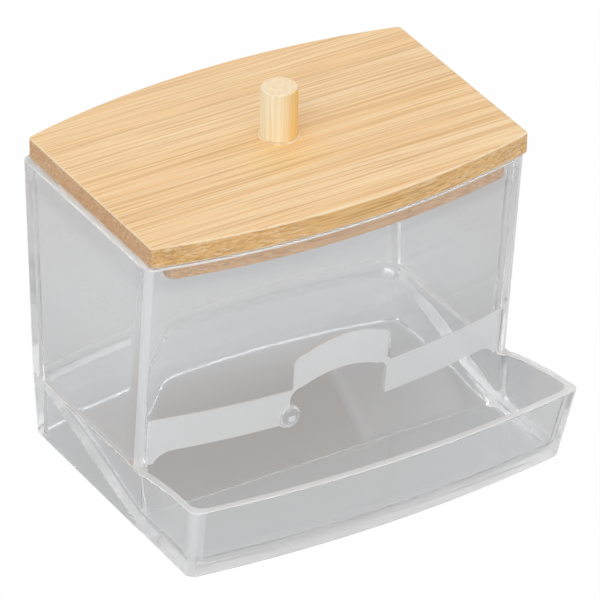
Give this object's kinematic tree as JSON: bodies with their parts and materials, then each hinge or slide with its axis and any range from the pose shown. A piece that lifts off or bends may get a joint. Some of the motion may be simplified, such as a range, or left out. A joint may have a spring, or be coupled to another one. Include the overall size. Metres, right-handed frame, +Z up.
{
  "type": "cotton swab box",
  "caption": "Clear bow-fronted swab box with a ramp, an open front tray under a notched outlet, and a lift-off wooden lid with a round knob.",
  "frame": {"origin": "on the table, in the middle of the whole outline seen from above", "axes": "+Z up, -Y towards the open tray, +X to the right of someone facing the tray"},
  "size_m": [0.1118, 0.0986, 0.0983],
  "materials": {
    "clear_plastic": "clear polished moulding",
    "clear_base_plastic": "clear polished moulding",
    "board_bamboo": "satin, fine straight grain",
    "plate_bamboo": "satin, darker strip",
    "knob_bamboo": "satin dowel with lengthwise grain"
  },
  "bodies": {
    "box": {"base": "clear_base_plastic", "bin": "clear_plastic"},
    "lid": {"lid_board": "board_bamboo", "lid_locating_plate": "plate_bamboo", "lid_knob": "knob_bamboo"}
  },
  "joints": [
    {"name": "lid_lift", "type": "slide", "parent": "box", "child": "lid", "axis": [0, 0, 1], "range_m": [0, 0.04]}
  ]
}
